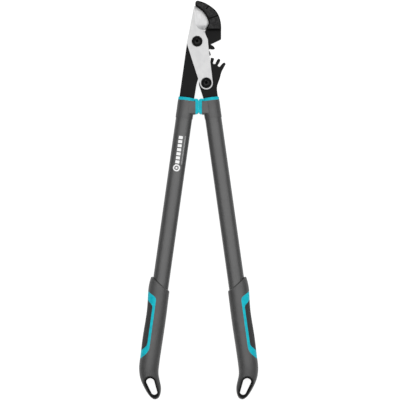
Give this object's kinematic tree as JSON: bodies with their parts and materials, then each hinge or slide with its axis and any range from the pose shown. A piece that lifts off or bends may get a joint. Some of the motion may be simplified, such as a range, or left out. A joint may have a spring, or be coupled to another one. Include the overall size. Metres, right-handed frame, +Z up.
{
  "type": "pruning shears",
  "caption": "Long-handled geared anvil lopping shears: curved blade closing on a segmented anvil, toothed arms, oval tube handles, moulded grips with hang loops.",
  "frame": {"origin": "on the main pivot's axis, in the plane that the closed shears rest on when laid on their back", "axes": "+Y runs from the grips to the jaw, +X towards the driven handle and the anvil, +Z up towards the bolt heads"},
  "size_m": [0.2249, 0.7507, 0.03],
  "materials": {
    "dark_steel": "black non-stick coating, satin",
    "anvil_metal": "dark cast grain, satin",
    "zinc_steel": "zinc plated",
    "blade_steel": "ground and satin coated",
    "black_bolt": "gloss black",
    "bronze": "turned",
    "grey_tube": "dark satin powder coat",
    "insert_plastic": "moulded",
    "grey_plastic": "fine moulded grain",
    "cyan_rubber": "satin soft elastomer",
    "grip_plastic": "fine moulded grain",
    "cyan_plastic": "satin",
    "soft_pad": "ribbed soft elastomer"
  },
  "bodies": {
    "anvil_side": {"anvil_arm": "dark_steel", "anvil": "anvil_metal", "anvil_screws": "zinc_steel", "main_bolt": "black_bolt", "main_nut": "zinc_steel", "main_bush": "bronze", "main_washers": "zinc_steel", "left_tube": "grey_tube", "left_tang_insert": "insert_plastic", "left_collar": "grey_plastic", "left_bumper": "cyan_rubber", "left_grip_shell": "grip_plastic", "left_grip_accent": "cyan_plastic", "left_grip_pad": "soft_pad"},
    "cutting_blade": {"blade": "blade_steel", "handle_bolt": "black_bolt", "handle_nut": "zinc_steel", "handle_bush": "bronze", "handle_washers": "zinc_steel"},
    "driven_side": {"drive_arm": "dark_steel", "right_tube": "grey_tube", "right_tang_insert": "insert_plastic", "right_collar": "grey_plastic", "right_bumper": "cyan_rubber", "right_grip_shell": "grip_plastic", "right_grip_accent": "cyan_plastic", "right_grip_pad": "soft_pad"}
  },
  "joints": [
    {"name": "blade_pivot", "type": "hinge", "parent": "anvil_side", "child": "cutting_blade", "pos_m": [0, 0, 0], "axis": [0, 0, 1], "range_deg": [0, 45]},
    {"name": "handle_pivot", "type": "hinge", "parent": "cutting_blade", "child": "driven_side", "pos_m": [0.01732, -0.0781, 0], "axis": [0, 0, 1], "range_deg": [0, 27]}
  ],
  "couplings": [
    {"joint": "handle_pivot", "follows": "blade_pivot", "ratio": 0.6}
  ]
}
